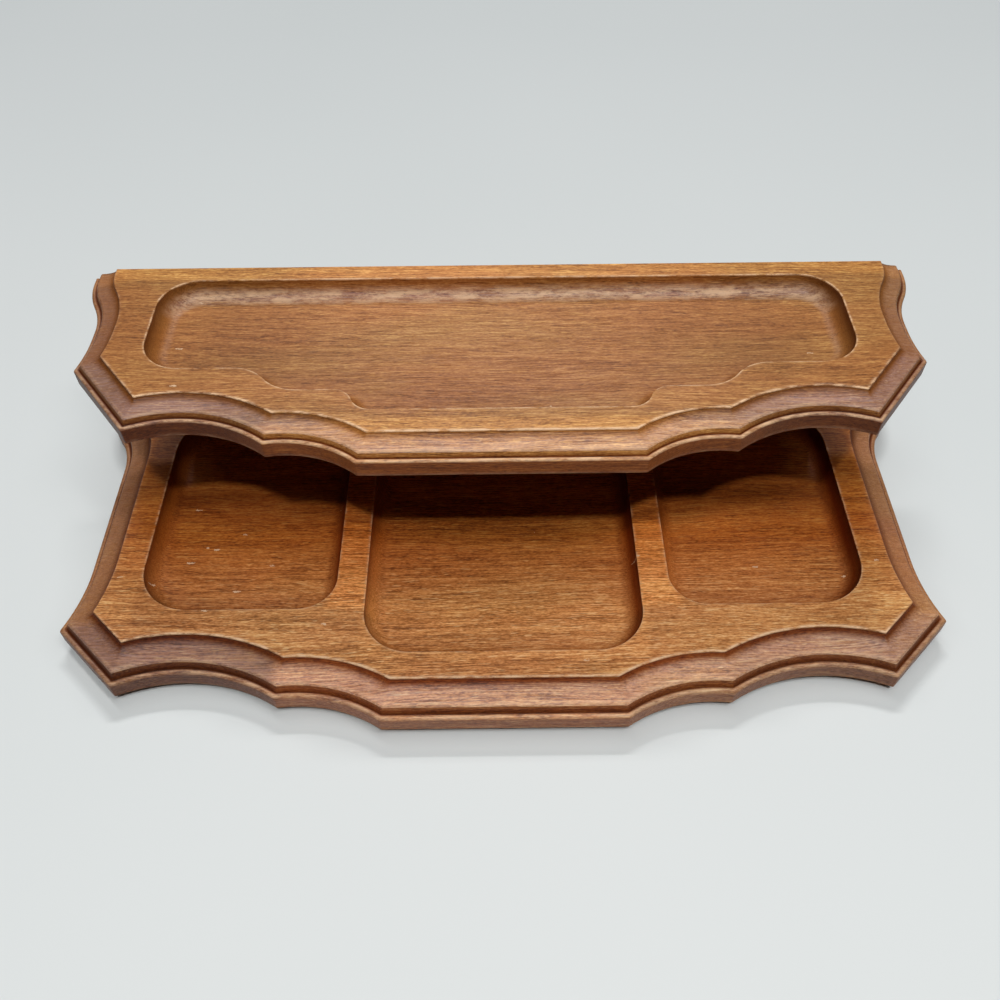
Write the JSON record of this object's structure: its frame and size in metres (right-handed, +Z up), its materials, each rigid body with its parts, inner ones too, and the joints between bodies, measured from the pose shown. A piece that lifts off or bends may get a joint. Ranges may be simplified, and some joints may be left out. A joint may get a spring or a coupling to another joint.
{
  "type": "valet tray",
  "caption": "Two-tier wooden dresser valet tray with scalloped, moulded edges: a broad base with routed pockets and a raised rear tray with one wide pocket.",
  "frame": {"origin": "on the table, under the middle of the object's bounding box", "axes": "+X to the object's right as seen from its front, +Y from the front to the sawn back, +Z up"},
  "size_m": [0.376, 0.174, 0.0907],
  "materials": {
    "base_wood": "satin",
    "upper_wood": "satin",
    "panel_wood": "satin",
    "dowel_wood": "raw",
    "screw_steel": "zinc plated",
    "pad_felt": "felt"
  },
  "bodies": {
    "root": {"base_tray": "base_wood", "upper_tray": "upper_wood", "rear_panel": "panel_wood", "panel_dowels": "dowel_wood", "panel_screws": "screw_steel", "felt_pad_front_left": "pad_felt", "felt_pad_front_right": "pad_felt", "felt_pad_rear_left": "pad_felt", "felt_pad_rear_right": "pad_felt"}
  },
  "joints": []
}
